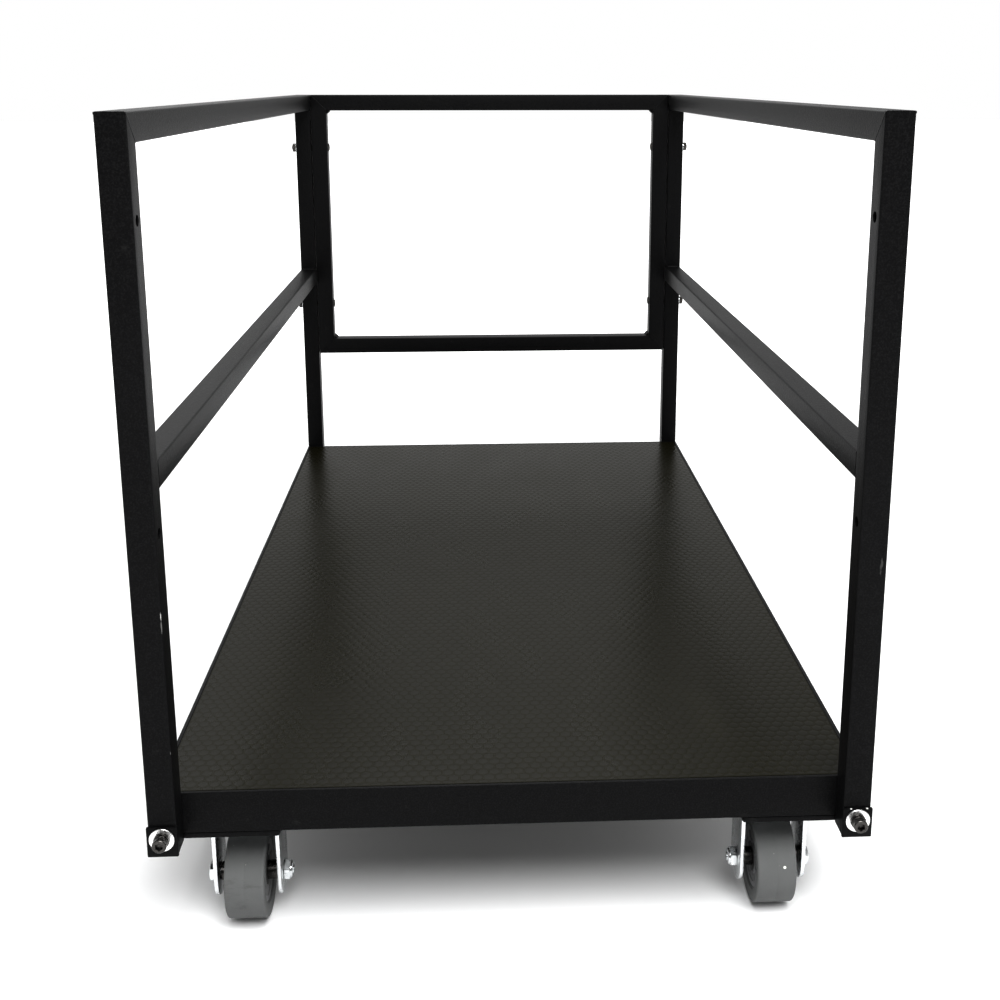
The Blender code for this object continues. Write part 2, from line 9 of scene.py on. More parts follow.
import bmesh
import bpy
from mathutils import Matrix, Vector

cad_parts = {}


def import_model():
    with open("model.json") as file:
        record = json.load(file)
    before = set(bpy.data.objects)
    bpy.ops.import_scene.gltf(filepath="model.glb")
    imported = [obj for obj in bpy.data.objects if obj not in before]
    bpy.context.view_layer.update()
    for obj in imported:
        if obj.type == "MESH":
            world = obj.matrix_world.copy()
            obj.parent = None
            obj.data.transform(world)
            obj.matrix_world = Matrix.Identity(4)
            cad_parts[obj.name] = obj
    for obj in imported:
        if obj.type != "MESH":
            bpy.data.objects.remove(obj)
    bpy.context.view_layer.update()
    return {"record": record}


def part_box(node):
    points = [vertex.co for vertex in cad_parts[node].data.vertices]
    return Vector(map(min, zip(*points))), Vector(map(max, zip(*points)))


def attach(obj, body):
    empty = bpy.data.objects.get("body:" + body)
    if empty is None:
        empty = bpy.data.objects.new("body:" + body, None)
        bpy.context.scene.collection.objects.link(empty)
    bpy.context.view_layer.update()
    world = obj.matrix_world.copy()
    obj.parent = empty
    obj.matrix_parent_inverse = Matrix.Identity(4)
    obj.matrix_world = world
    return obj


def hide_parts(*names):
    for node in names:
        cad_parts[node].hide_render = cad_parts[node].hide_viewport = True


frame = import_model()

BODY_OF = {node: body
           for body, nodes in frame["record"]["behaviour"]["bodies"].items()
           for node in nodes}

# ---- dimensions shared with the CAD model ----

TUBE = 0.03175
HALF_TUBE = TUBE / 2
WALL = 0.0021
CORNER = 0.0024
ANGLE_LEG = 0.0508
ANGLE_THICKNESS = 0.00476
FORK_GAP = 0.0700
FORK_THICKNESS = 0.00476
FORK_LEG_WIDTH = 0.0540
SWIVEL_LEG_WIDTH = 0.0700
FORK_PLATE_THICKNESS = 0.0050
RACE_HEIGHT = 0.0140
RACE_RADIUS = 0.0350
CROWN_LENGTH = 0.0740
CROWN_THICKNESS = 0.0060
FIXING_RISES = (0.3180, 0.6510)
FOOT_BOLT_DROP = 0.0355
FOOT_PLATE_HEIGHT = 0.0362
BOLT_RADIUS = 0.0050
BOLT_PITCH = 0.0015
NUT_HEX = 0.0160
NUT_HEIGHT = 0.0084
SCREW_HEAD_HEIGHT = 0.0100
BUTTON_HEAD_HEIGHT = 0.0032
AXLE_RADIUS = 0.0060
AXLE_PITCH = 0.00175
AXLE_HEX = 0.0220
AXLE_HEAD_HEIGHT = 0.0085
AXLE_NUT_HEIGHT = 0.0105
PLATE_BOLT_HEX = 0.0130
HUB_HALF_WIDTH = 0.0205
FRAME_BODY = "cart_frame"
GAP = 0.0003

DECK_LOW, DECK_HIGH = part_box("deck_panel")
DECK_TOP = DECK_HIGH.z
RAIL_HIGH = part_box("side_right_top_rail")[1]
RAIL_TOP = RAIL_HIGH.z
HALF_LENGTH = RAIL_HIGH.y
HALF_WIDTH = RAIL_HIGH.x
POST_X = HALF_WIDTH - HALF_TUBE
POST_Y = HALF_LENGTH - HALF_TUBE
FOOT_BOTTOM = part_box("side_right_front_post")[0].z

SIDES = {"left": -1, "right": 1}
ENDS = {"front": -1, "rear": 1}
X, Y, Z = Vector((1, 0, 0)), Vector((0, 1, 0)), Vector((0, 0, 1))


# ---- node materials ----

class Surface:
    """A procedural material, built up around its Principled shader."""

    def __init__(self, name, metallic=0.0, specular=0.5):
        self.material = bpy.data.materials.new(name)
        self.material.use_nodes = True
        self.tree = self.material.node_tree
        self.shader = self.tree.nodes["Principled BSDF"]
        self.shader.inputs["Metallic"].default_value = metallic
        self.shader.inputs["Specular IOR Level"].default_value = specular
        self.place = self.node("ShaderNodeTexCoord").outputs["Object"]

    def node(self, kind, **settings):
        made = self.tree.nodes.new(kind)
        for key, value in settings.items():
            setattr(made, key, value)
        return made

    def feed(self, socket, value):
        if isinstance(value, bpy.types.NodeSocket):
            self.tree.links.new(value, socket)
        elif isinstance(value, tuple) and len(value) == 3 and socket.type == "RGBA":
            socket.default_value = (*value, 1)
        else:
            socket.default_value = value

    def stretched(self, scale):
        mapping = self.node("ShaderNodeMapping")
        self.feed(mapping.inputs["Vector"], self.place)
        self.feed(mapping.inputs["Scale"], scale)
        return mapping.outputs["Vector"]

    def noise(self, scale, detail=3.0, roughness=0.55, vector=None):
        made = self.node("ShaderNodeTexNoise")
        self.feed(made.inputs["Vector"], vector or self.place)
        self.feed(made.inputs["Scale"], scale)
        self.feed(made.inputs["Detail"], detail)
        self.feed(made.inputs["Roughness"], roughness)
        return made.outputs["Fac"]

    def cells(self, scale):
        made = self.node("ShaderNodeTexVoronoi")
        self.feed(made.inputs["Vector"], self.place)
        self.feed(made.inputs["Scale"], scale)
        return made.outputs["Distance"]

    def product(self, first, second):
        made = self.node("ShaderNodeMath", operation="MULTIPLY")
        self.feed(made.inputs[0], first)
        self.feed(made.inputs[1], second)
        return made.outputs[0]

    def span(self, value, low, high, to_low=0.0, to_high=1.0):
        made = self.node("ShaderNodeMapRange", clamp=True)
        for name, given in (("Value", value), ("From Min", low), ("From Max", high),
                            ("To Min", to_low), ("To Max", to_high)):
            self.feed(made.inputs[name], given)
        return made.outputs["Result"]

    def mix(self, factor, first, second):
        made = self.node("ShaderNodeMix", data_type="RGBA")
        self.feed(made.inputs[0], factor)
        self.feed(made.inputs[6], first)
        self.feed(made.inputs[7], second)
        return made.outputs[2]

    def bump(self, *layers):
        """Each layer is (height, strength, distance)."""
        normal = None
        for height, strength, distance in layers:
            made = self.node("ShaderNodeBump")
            self.feed(made.inputs["Height"], height)
            self.feed(made.inputs["Strength"], strength)
            self.feed(made.inputs["Distance"], distance)
            if normal:
                self.feed(made.inputs["Normal"], normal)
            normal = made.outputs["Normal"]
        self.feed(self.shader.inputs["Normal"], normal)

    def near(self, centre, reach):
        """1 at a point, falling to 0 at a distance; reach may differ along X, Y and Z."""
        offset = self.node("ShaderNodeVectorMath", operation="SUBTRACT")
        self.feed(offset.inputs[0], self.place)
        self.feed(offset.inputs[1], centre)
        scaled = self.node("ShaderNodeVectorMath", operation="DIVIDE")
        self.feed(scaled.inputs[0], offset.outputs[0])
        self.feed(scaled.inputs[1], reach)
        length = self.node("ShaderNodeVectorMath", operation="LENGTH")
        self.feed(length.inputs[0], scaled.outputs[0])
        return self.span(length.outputs["Value"], 0.0, 1.0, 1.0, 0.0)

    def finish(self, colour, roughness):
        self.feed(self.shader.inputs["Base Color"], colour)
        self.feed(self.shader.inputs["Roughness"], roughness)
        return self.material


def powder_coat(name, scuffs=()):
    """Fine-textured black powder coat; scuffs are (centre, reach, cut, brightness)."""
    surface = Surface(name, specular=0.095)
    broad = surface.noise(6.0, 3.0)
    grain = surface.noise(620.0, 2.0, 0.6)
    pebble = surface.noise(260.0, 3.0, 0.6)
    dust = surface.noise(42.0, 5.0, 0.7)
    colour = surface.mix(broad, (0.0018, 0.0018, 0.0020), (0.0034, 0.0034, 0.0037))
    colour = surface.mix(surface.span(grain, 0.45, 0.75), colour, (0.0100, 0.0100, 0.0104))
    colour = surface.mix(surface.span(dust, 0.64, 0.88), colour, (0.024, 0.024, 0.023))
    roughness = surface.span(grain, 0.2, 0.8, 0.34, 0.50)
    for centre, reach, cut, bright in scuffs:
        ragged = surface.noise(260.0, 4.0, 0.7, surface.stretched((1.0, 1.0, 0.35)))
        mask = surface.product(surface.near(centre, reach), ragged)
        mask = surface.span(mask, cut, cut + 0.06)
        colour = surface.mix(mask, colour, (bright, bright, bright * 0.97))
    surface.bump((pebble, 0.85, 0.00036), (grain, 0.75, 0.00018))
    return surface.finish(colour, roughness)


def phenolic_film(name, specular, smooth, rough, painted_light_gain=1.0):
    surface = Surface(name, specular=specular)
    broad = surface.noise(2.2, 4.0)
    fine = surface.noise(900.0, 2.0)
    traffic = surface.noise(14.0, 5.0, 0.65, surface.stretched((1.0, 0.35, 1.0)))
    # A gain above 1 paints every tone lighter: painted light that offsets the shade falling in the
    # grooves.
    dark, middle, light = (tuple(painted_light_gain * part for part in tone) for tone in (
        (0.0049, 0.0045, 0.0014), (0.0066, 0.0060, 0.0020), (0.0088, 0.0081, 0.0036)))
    colour = surface.mix(broad, dark, middle)
    colour = surface.mix(surface.span(traffic, 0.55, 0.85), colour, light)
    roughness = surface.span(traffic, 0.3, 0.75, smooth, rough)
    surface.bump((fine, 0.25, 0.00006))
    return surface.finish(colour, roughness)


def zinc_plate():
    surface = Surface("zinc_plate", metallic=1.0)
    cloud = surface.noise(38.0, 4.0, 0.6)
    fine = surface.noise(700.0, 3.0)
    brushed = surface.noise(260.0, 3.0, 0.6, surface.stretched((1.0, 1.0, 0.12)))
    colour = surface.mix(cloud, (0.60, 0.62, 0.64), (0.80, 0.81, 0.80))
    colour = surface.mix(surface.span(surface.noise(95.0, 5.0, 0.7), 0.63, 0.80), colour,
                         (0.34, 0.34, 0.33))
    roughness = surface.span(cloud, 0.3, 0.7, 0.20, 0.36)
    surface.bump((fine, 0.12, 0.00008), (brushed, 0.12, 0.00008))
    return surface.finish(colour, roughness)


def stainless():
    surface = Surface("stainless", metallic=1.0)
    turned = surface.noise(420.0, 3.0, 0.6)
    colour = surface.mix(surface.noise(60.0, 3.0), (0.78, 0.78, 0.77), (0.92, 0.92, 0.91))
    surface.bump((turned, 0.15, 0.00005))
    return surface.finish(colour, surface.span(turned, 0.3, 0.7, 0.24, 0.34))


def grey_rubber(name, fleck=None):
    surface = Surface(name, specular=0.35)
    cloud = surface.noise(24.0, 4.0)
    fine = surface.noise(520.0, 3.0, 0.6)
    scuffs = surface.noise(70.0, 5.0, 0.7, surface.stretched((0.35, 1.0, 1.0)))
    colour = surface.mix(cloud, (0.108, 0.111, 0.110), (0.138, 0.141, 0.140))
    colour = surface.mix(surface.span(scuffs, 0.60, 0.80), colour, (0.078, 0.078, 0.076))
    specks = surface.cells(85.0)
    colour = surface.mix(surface.span(specks, 0.035, 0.06, 0.45, 0.0), colour, (0.42, 0.42, 0.40))
    if fleck:
        mark = surface.near(*fleck)
        colour = surface.mix(surface.span(mark, 0.25, 0.40), colour, (0.75, 0.75, 0.70))
    surface.bump((cloud, 0.2, 0.0003), (fine, 0.35, 0.00012))
    return surface.finish(colour, surface.span(fine, 0.25, 0.75, 0.62, 0.78))


def mottled(name, cloud, tones, roughness, bump, speck=None, metallic=0.0, specular=0.5):
    """Clouded tones over a fine grain, with optional darker or rustier specks."""
    surface = Surface(name, metallic, specular)
    cloud = surface.noise(*cloud)
    colour = surface.mix(cloud, *tones)
    if speck:
        pattern, limits, tone = speck
        colour = surface.mix(surface.span(surface.noise(*pattern), *limits), colour, tone)
    scale, strength, distance = bump
    surface.bump((surface.noise(scale, 2.0), strength, distance))
    return surface.finish(colour, surface.span(cloud, 0.3, 0.7, *roughness))


COAT = powder_coat("powder_coat")
FILM = phenolic_film("phenolic_film", 0.10, 0.26, 0.31)
# The groove copy of the film is painted almost twice as light, as painted light against the shade
# in the grooves.
GROOVE_FILM_PAINTED_LIGHTER = phenolic_film("phenolic_film_grooves_painted_lighter", 0.05, 0.48, 0.56, 1.95)
ZINC = zinc_plate()
STAINLESS = stainless()
OXIDE = mottled("black_oxide", (130.0, 4.0, 0.6),
                ((0.045, 0.043, 0.041), (0.100, 0.096, 0.092)), (0.20, 0.34),
                (900.0, 0.2, 0.00006),
                ((330.0, 4.0, 0.7), (0.60, 0.72), (0.16, 0.145, 0.13)), metallic=1.0)
RUBBER = grey_rubber("grey_rubber")
FLECKED = grey_rubber("grey_rubber_flecked",
                      (Vector((0.3247, -0.6926, 0.0705)), (0.0026, 0.0040, 0.0024)))
HUB = mottled("hub_plastic", (55.0, 4.0), ((0.130, 0.132, 0.134), (0.170, 0.172, 0.174)),
              (0.42, 0.55), (800.0, 0.25, 0.00008),
              ((120.0, 5.0, 0.7), (0.60, 0.82), (0.12, 0.115, 0.11)), specular=0.4)
SEAL = mottled("bearing_seal", (160.0, 4.0), ((0.016, 0.016, 0.016), (0.034, 0.032, 0.030)),
               (0.38, 0.55), (900.0, 0.2, 0.00006), specular=0.4)


# ---- mesh helpers ----

def linked(name, data):
    obj = bpy.data.objects.new(name, data)
    bpy.context.scene.collection.objects.link(obj)
    return obj


def object_from(name, bm):
    mesh = bpy.data.meshes.new(name)
    bm.to_mesh(mesh)
    bm.free()
    return linked(name, mesh)


def add_piece(name, bm, material, node=None, body=None, sharp=32):
    """Turn a bmesh, built in place, into a piece that stands for a node or rides on a body."""
    bmesh.ops.recalc_face_normals(bm, faces=bm.faces)
    obj = object_from(name, bm)
    obj.data.materials.append(material)
    shade(obj.data, sharp)
    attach(obj, body or BODY_OF[node])
    if node:
        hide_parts(node)
    return obj


def shade(mesh, sharp):
    mesh.shade_smooth()
    mesh.set_sharp_from_angle(angle=radians(sharp))


def bevel_edges(bm, width, segments, sharper_than):
    """Round every edge whose faces meet at more than an angle."""
    bmesh.ops.remove_doubles(bm, verts=bm.verts, dist=1e-7)
    bmesh.ops.recalc_face_normals(bm, faces=bm.faces)
    edges = [edge for edge in bm.edges
             if len(edge.link_faces) == 2 and edge.calc_face_angle() > radians(sharper_than)]
    bmesh.ops.bevel(bm, geom=edges, offset=width, segments=segments, profile=0.5,
                    affect="EDGES", clamp_overlap=True)


def merge(target, source):
    """Copy one bmesh into another and free it."""
    mesh = bpy.data.meshes.new("merge")
    source.to_mesh(mesh)
    source.free()
    target.from_mesh(mesh)
    bpy.data.meshes.remove(mesh)


def drill(obj, holes):
    """Cut holes, each (centre, axis, radius, depth), into a piece."""
    cutters = []
    for centre, axis, radius, depth in holes:
        bm = bmesh.new()
        polar(bm, centre - axis * depth / 2, axis, [(0.0, radius), (depth, radius)], 40)
        bmesh.ops.recalc_face_normals(bm, faces=bm.faces)
        cutter = object_from("cutter", bm)
        modifier = obj.modifiers.new("drill", "BOOLEAN")
        modifier.object = cutter
        modifier.operation = "DIFFERENCE"
        modifier.solver = "EXACT"
        cutters.append(cutter)
    bpy.context.view_layer.update()
    depsgraph = bpy.context.evaluated_depsgraph_get()
    drilled = bpy.data.meshes.new_from_object(obj.evaluated_get(depsgraph))
    obj.modifiers.clear()
    obj.data = drilled
    shade(drilled, 32)
    for cutter in cutters:
        bpy.data.objects.remove(cutter, do_unlink=True)


def frame_of(direction):
    """Two unit vectors square to a direction."""
    side = Z if abs(direction.z) < 0.9 else X
    first = direction.cross(side).normalized()
    return first, direction.cross(first).normalized()


def bridge(bm, one, other):
    """Quads between two rings that have the same number of vertices."""
    faces = []
    for index in range(len(one)):
        after = (index + 1) % len(one)
        faces.append(bm.faces.new((one[index], one[after], other[after], other[index])))
    return faces


def loft(bm, rings):
    """Join a run of rings and cap both ends."""
    bm.faces.new(rings[0])
    for one, other in zip(rings, rings[1:]):
        bridge(bm, one, other)
    bm.faces.new(rings[-1])


def polar(bm, centre, direction, rings, steps, closed=False, turn=0.0):
    """Rings of (height, radius) about an axis; a radius may be a function of the angle.

    Open stacks are capped at both ends, closed ones join their last ring to the first.
    """
    first, second = frame_of(direction)
    made = []
    for height, radius in rings:
        ring = []
        for step in range(steps):
            angle = turn + 2 * pi * step / steps
            reach = radius(angle) if callable(radius) else radius
            ring.append(bm.verts.new(centre + direction * height
                                     + (first * cos(angle) + second * sin(angle)) * reach))
        made.append(ring)
    pairs = list(zip(made, made[1:]))
    if closed:
        pairs.append((made[-1], made[0]))
    for lower, upper in pairs:
        bridge(bm, lower, upper)
    if not closed:
        bm.faces.new(made[0])
        bm.faces.new(made[-1])


def fillet(points, radii, steps=4):
    """Round the corners of a closed outline."""
    rounded = []
    count = len(points)
    for index, (point, radius) in enumerate(zip(points, radii)):
        corner = Vector(point)
        if radius <= 0:
            rounded.append(tuple(corner))
            continue
        before = (Vector(points[index - 1]) - corner).normalized()
        after = (Vector(points[(index + 1) % count]) - corner).normalized()
        start, end = corner + before * radius, corner + after * radius
        for step in range(steps + 1):
            t = step / steps
            rounded.append(tuple(start * (1 - t) ** 2 + corner * 2 * t * (1 - t) + end * t * t))
    return rounded


def rounded_box(low, high, radius, steps=4):
    """Outline of a rectangle with rounded corners; only the first two axes are used."""
    return fillet([(low[0], low[1]), (high[0], low[1]), (high[0], high[1]),
                   (low[0], high[1])], [radius] * 4, steps)


def prism(bm, outline, place):
    """Solid between two copies of an outline; place(u, v, end) gives each point."""
    rings = [[bm.verts.new(place(u, v, end)) for u, v in outline] for end in (0, 1)]
    bridge(bm, *rings)
    for ring in rings:
        bm.faces.new(ring)


def rounded_square(half, radius, steps=5):
    points = []
    for quarter, (u_side, v_side) in enumerate(((1, 1), (-1, 1), (-1, -1), (1, -1))):
        for step in range(steps + 1):
            angle = pi / 2 * (quarter + step / steps)
            points.append((u_side * (half - radius) + radius * cos(angle),
                           v_side * (half - radius) + radius * sin(angle)))
    return points


ACROSS = {"x": (1, 2), "y": (0, 2), "z": (0, 1)}


def tube(bm, axis, span, centre, low_mitre=None, high_mitre=None):
    """Hollow square tube along an axis, between the two ends of its span.

    centre holds its place on the other two axes. A mitre is (axis index, side): the
    long side of the 45 degree cut faces that way.
    """
    along = "xyz".index(axis)
    u_axis, v_axis = ACROSS[axis]
    outlines = (rounded_square(HALF_TUBE, CORNER),
                rounded_square(HALF_TUBE - WALL, CORNER - WALL * 0.8))
    rings = []
    for value, mitre, inward in ((span[0], low_mitre, 1), (span[1], high_mitre, -1)):
        for outline in outlines:
            ring = []
            for u, v in outline:
                place = [0.0, 0.0, 0.0]
                place[u_axis] = centre[0] + u
                place[v_axis] = centre[1] + v
                place[along] = value
                if mitre:
                    lean = u if mitre[0] == u_axis else v
                    place[along] += inward * (HALF_TUBE - mitre[1] * lean)
                ring.append(bm.verts.new(place))
            rings.append(ring)
    low_outer, low_inner, high_outer, high_inner = rings
    for one, other in ((low_outer, high_outer), (low_inner, high_inner),
                       (low_outer, low_inner), (high_outer, high_inner)):
        bridge(bm, one, other)


def bead(bm, start, end, first, second, leg, seed):
    """Fillet weld with ripples from start to end, in the corner between two faces.

    first and second point along the two faces, away from the corner.
    """
    rng = random.Random(seed)
    start, end = Vector(start), Vector(end)
    length = (end - start).length
    count = max(6, ceil(length / 0.0007))
    outward = (first + second).normalized()
    along = (end - start).normalized()
    wobble = [rng.uniform(-0.06, 0.06) for _ in range(count // 3 + 3)]
    rings = []
    for index in range(count + 1):
        place = length * index / count
        ripple = abs(sin(pi * place / 0.0023))
        taper = min(1.0, (min(place, length - place) + 0.0006) / 0.002)
        size = leg * taper * (0.93 + 0.09 * ripple + wobble[index // 3])
        point = start + along * place
        ring = [point - outward * 0.0004]
        for step in range(6):
            t = step / 5
            swell = outward * leg * 0.16 * sin(pi * t)
            ring.append(point + first * size * (1 - t) + second * size * t + swell)
        rings.append([bm.verts.new(corner) for corner in ring])
    loft(bm, rings)


# ---- fasteners ----

def hexagon(across_flats):
    """Radius of a hexagon at an angle."""
    apothem = across_flats / 2

    def radius(angle):
        return apothem / cos((angle + pi / 6) % (pi / 3) - pi / 6)
    return radius


def hex_block(bm, centre, direction, height, across_flats, bore=0.0, turn=0.0):
    """Hex head or nut with chamfered corners, standing from centre along direction."""
    shape = hexagon(across_flats)
    face = across_flats / 2 * 0.96

    def chamfer(depth):
        def radius(angle):
            return min(shape(angle - turn), face + depth * 1.75)
        return radius
    depths = [0.0, 0.0002, 0.0005, 0.0009, 0.0014]
    far = [(height - depth, chamfer(depth)) for depth in reversed(depths)]
    near = [(depth, chamfer(depth)) for depth in depths]
    rings = near + far
    if bore:
        rings += [(height, bore + 0.0006), (height - 0.0006, bore),
                  (0.0006, bore), (0.0, bore + 0.0006)]
    polar(bm, centre, direction, rings, 96, closed=bool(bore), turn=turn)


def thread(bm, centre, direction, start, end, radius, pitch):
    """Threaded shank between two heights with a chamfered tip at the end."""
    rows = max(4, int((end - start) / pitch * 8))
    depth = pitch * 0.55
    rings = []
    for row in range(rows + 1):
        height = start + (end - start) * row / rows
        tip = max(0.0, 1.0 - (end - height) / (pitch * 0.8))

        def reach(angle, height=height, tip=tip):
            turns = (height / pitch - angle / (2 * pi)) % 1.0
            groove = abs(turns * 2 - 1)
            return radius - depth * groove * (1 - tip) - depth * tip
        rings.append((height, reach))
    polar(bm, centre, direction, rings, 48)


def reach_of(node, direction):
    """Where a node's box starts and ends along a direction, and its centre."""
    low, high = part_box(node)
    return (*sorted((low.dot(direction), high.dot(direction))), (low + high) / 2)


def socket_screw(name, node, outward, place):
    """Knurled socket head with its split lock ring, shank, and nut inside the angle."""
    tail, face, _ = reach_of(node, outward)
    origin = Vector((place.x, 0, place.z))
    bm = bmesh.new()

    def knurl(angle):
        return 0.0080 - 0.00022 * abs(((angle * 40 / pi) % 2) - 1)
    socket = hexagon(0.0080)

    rings = [(face - SCREW_HEAD_HEIGHT, 0.0076), (face - 0.0097, 0.0080), (face - 0.0086, 0.0080),
             (face - 0.0084, knurl), (face - 0.0016, knurl), (face - 0.0014, 0.0080),
             (face - 0.0006, 0.00785), (face - 0.0001, 0.0074), (face, 0.0068),
             (face, 0.0053), (face - 0.0005, socket), (face - 0.0052, socket),
             (face - 0.0064, 0.0008)]
    polar(bm, origin, outward, rings, 160)
    ring_top = face - SCREW_HEAD_HEIGHT
    split = radians(9)

    def lock(angle):
        return 0.0088 if split < angle % (2 * pi) else 0.0066
    polar(bm, origin, outward, [(ring_top - 0.0025, 0.0064), (ring_top - 0.0025, lock),
                                (ring_top - 0.0003, lock), (ring_top, 0.0064)], 96)
    polar(bm, origin, outward, [(tail + 0.0010, BOLT_RADIUS),
                                (ring_top + 0.0002, BOLT_RADIUS)], 40)
    thread(bm, origin, -outward, -tail - 0.0012, -tail, BOLT_RADIUS, BOLT_PITCH)
    hex_block(bm, origin + outward * (tail + 0.0096), -outward, NUT_HEIGHT, NUT_HEX,
              turn=pi / 6)
    add_piece(name, bm, OXIDE, node, sharp=28)


def flat_washer(name, node, direction):
    start, end, centre = reach_of(node, direction)
    thick = end - start
    bm = bmesh.new()
    base = centre - direction * thick / 2
    rings = [(0.0, 0.0136), (0.0003, 0.0140), (thick - 0.0004, 0.0140), (thick, 0.0135),
             (thick, 0.0058), (thick - 0.0004, 0.0054), (0.0004, 0.0054), (0.0, 0.0057)]
    polar(bm, base, direction, rings, 72, closed=True)
    add_piece(name, bm, STAINLESS, node, sharp=28)


def frame_bolt(name, node, outward):
    """Button head bolt through an end frame upright and a rear post."""
    head, tip, centre = reach_of(node, outward)
    origin = Vector((0, centre.y, centre.z))
    base = origin + outward * (head + BUTTON_HEAD_HEIGHT)
    socket = hexagon(0.0060)
    bm = bmesh.new()
    polar(bm, base, -outward,
          [(0.0, 0.0082), (0.0002, 0.0085), (0.0008, 0.0085), (0.0018, 0.0078),
           (0.0026, 0.0066), (0.0031, 0.0050), (0.0032, 0.0040), (0.0032, 0.0037),
           (0.0029, socket), (0.0010, socket), (0.0006, 0.0008)], 96)
    polar(bm, origin, outward, [(head + 0.0028, BOLT_RADIUS), (tip - 0.0090, BOLT_RADIUS)], 40)
    thread(bm, origin, outward, tip - 0.0090, tip, BOLT_RADIUS, BOLT_PITCH)
    add_piece(name, bm, OXIDE, node, sharp=28)


def frame_nut(name, node, outward):
    """Nut outside a rear post, over a bright washer."""
    start, end, centre = reach_of(node, outward)
    height = end - start
    base = centre - outward * height / 2
    bm = bmesh.new()
    polar(bm, base, outward, [(0.0, 0.0096), (0.0002, 0.0100), (0.0014, 0.0100), (0.0016, 0.0096),
                              (0.0016, 0.0056), (0.0, 0.0056)], 56, closed=True)
    add_piece(name.replace("nut", "washer"), bm, ZINC, body=BODY_OF[node], sharp=28)
    bm = bmesh.new()
    hex_block(bm, base + outward * 0.0018, outward, height - 0.0018, NUT_HEX, bore=0.0052,
              turn=radians(20))
    add_piece(name, bm, OXIDE, node, sharp=28)


def axle_bolt(name, node, inward):
    """Axle bolt with its head outboard and a collared lock nut inboard."""
    head, tip, centre = reach_of(node, inward)
    origin = Vector((0, centre.y, centre.z))
    bm = bmesh.new()
    hex_block(bm, origin + inward * (head + AXLE_HEAD_HEIGHT), -inward, AXLE_HEAD_HEIGHT,
              AXLE_HEX, turn=radians(11))
    polar(bm, origin, inward, [(head + 0.0080, AXLE_RADIUS), (tip - 0.0115, AXLE_RADIUS)], 48)
    thread(bm, origin, inward, tip - 0.0045, tip, AXLE_RADIUS, AXLE_PITCH)
    nut = tip - 0.0115
    hex_block(bm, origin + inward * nut, inward, 0.0078, AXLE_HEX, turn=radians(4))
    polar(bm, origin, inward,
          [(nut + 0.0070, 0.0100), (nut + 0.0086, 0.0099), (nut + 0.0098, 0.0093),
           (nut + 0.0104, 0.0083), (nut + AXLE_NUT_HEIGHT, AXLE_RADIUS)], 64)
    add_piece(name, bm, ZINC, node, sharp=28)


# ---- deck ----

HEX_PITCH = 0.0137
HEX_GROOVE = 0.0006
HEX_DEPTH = 0.00010
HEX_CROWN = 0.00004


def clip(points, low, high, axis):
    """Keep the part of a convex outline between two limits on one axis."""
    for limit, sign in ((low, 1), (high, -1)):
        kept = []
        for index, point in enumerate(points):
            before = points[index - 1]
            inside = sign * (point[axis] - limit) >= 0
            was_inside = sign * (before[axis] - limit) >= 0
            if inside != was_inside:
                t = (limit - before[axis]) / (point[axis] - before[axis])
                kept.append(before.lerp(point, t))
            if inside:
                kept.append(point)
        points = kept
        if len(points) < 3:
            return []
    return points


def deck_panel():
    """Panel whose upper film carries a raised hexagon pattern."""
    low, high = DECK_LOW, DECK_HIGH
    floor = high.z - HEX_DEPTH
    bm = bmesh.new()
    prism(bm, rounded_box(low, high, 0.002), lambda u, v, end: (u, v, (low.z, floor)[end]))
    row_pitch = HEX_PITCH * sqrt(3) / 2
    rows = ceil((high.y - low.y) / row_pitch / 2) + 1
    columns = ceil((high.x - low.x) / HEX_PITCH / 2) + 1
    foot = (HEX_PITCH - HEX_GROOVE) / sqrt(3)
    rim, crown = foot - 0.0009, foot * 0.42
    corners = [radians(30 + 60 * step) for step in range(6)]
    for row in range(-rows, rows + 1):
        for column in range(-columns, columns + 1):
            centre = Vector(((column + 0.5 * (row % 2)) * HEX_PITCH, row * row_pitch))
            rings = []
            for radius, height, inset in ((foot, floor - 0.00003, 0.0004),
                                          (rim, high.z - HEX_CROWN, 0.0013),
                                          (crown, high.z, 0.0030)):
                points = [centre + Vector((cos(a), sin(a))) * radius for a in corners]
                points = clip(points, low.x + inset, high.x - inset, 0)
                points = clip(points, low.y + inset, high.y - inset, 1) if points else []
                rings.append([(point.x, point.y, height) for point in points])
            count = len(rings[0])
            if not count or len(rings[1]) != count:
                continue
            if len(rings[2]) != count:
                rings.pop()
            loops = [[bm.verts.new(point) for point in ring] for ring in rings]
            bm.faces.new(loops[-1])
            # The walls from the groove floor up to each pad's rim take the groove film, painted
            # lighter to offset their shade.
            for level, (lower, upper) in enumerate(zip(loops, loops[1:])):
                for face in bridge(bm, lower, upper):
                    face.material_index = 1 - level
    board = add_piece("deck_board", bm, FILM, "deck_panel", sharp=20)
    board.data.materials.append(GROOVE_FILM_PAINTED_LIGHTER)


def deck_angles():
    """Rolled angles with filleted roots and mitred corners."""
    t = ANGLE_THICKNESS
    profile = fillet([(0, 0), (0, ANGLE_LEG), (t, ANGLE_LEG), (t, t), (ANGLE_LEG, t),
                      (ANGLE_LEG, 0)], [0.0012, 0.0009, 0.0013, 0.0050, 0.0022, 0.0009])
    for name in ("front", "rear", "left", "right"):
        node = f"deck_angle_{name}"
        low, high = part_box(node)
        along_x = name in ENDS
        side = ENDS.get(name) or SIDES.get(name)
        span = (low.x, high.x) if along_x else (low.y, high.y)
        outer = (high if side > 0 else low)[int(along_x)]

        def place(depth, height, end):
            where = span[end] + (depth if end == 0 else -depth)
            across = outer - side * depth
            return (where, across, low.z + height) if along_x else (across, where, low.z + height)
        bm = bmesh.new()
        prism(bm, profile, place)
        add_piece(f"edge_angle_{name}", bm, COAT, node)


